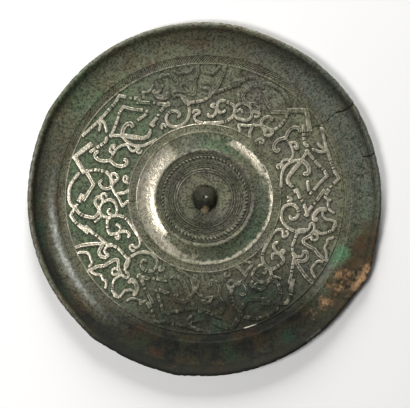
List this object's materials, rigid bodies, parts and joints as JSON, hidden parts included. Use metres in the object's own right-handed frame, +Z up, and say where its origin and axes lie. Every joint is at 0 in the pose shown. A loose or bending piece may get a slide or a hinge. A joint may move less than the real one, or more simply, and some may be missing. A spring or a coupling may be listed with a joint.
{
  "type": "ancient bronze mirror",
  "caption": "Round cast bronze mirror lying on its polished face, its back with a pierced knob, rings, an interlaced dragon field and a raised rim.",
  "frame": {"origin": "middle of the flat polished face, at its level, which is the side that the mirror lies on", "axes": "+Z up through the knob out of the decorated back; +Y along the cord hole through the knob; the swollen stretch of rim is at 25 degrees from +X towards -Y"},
  "size_m": [0.15, 0.1501, 0.008],
  "materials": {
    "patinated_bronze": "high-tin bronze with a worn silvery relief, green and brown patina and corrosion"
  },
  "bodies": {
    "root": {"bronze_mirror": "patinated_bronze"}
  },
  "joints": []
}
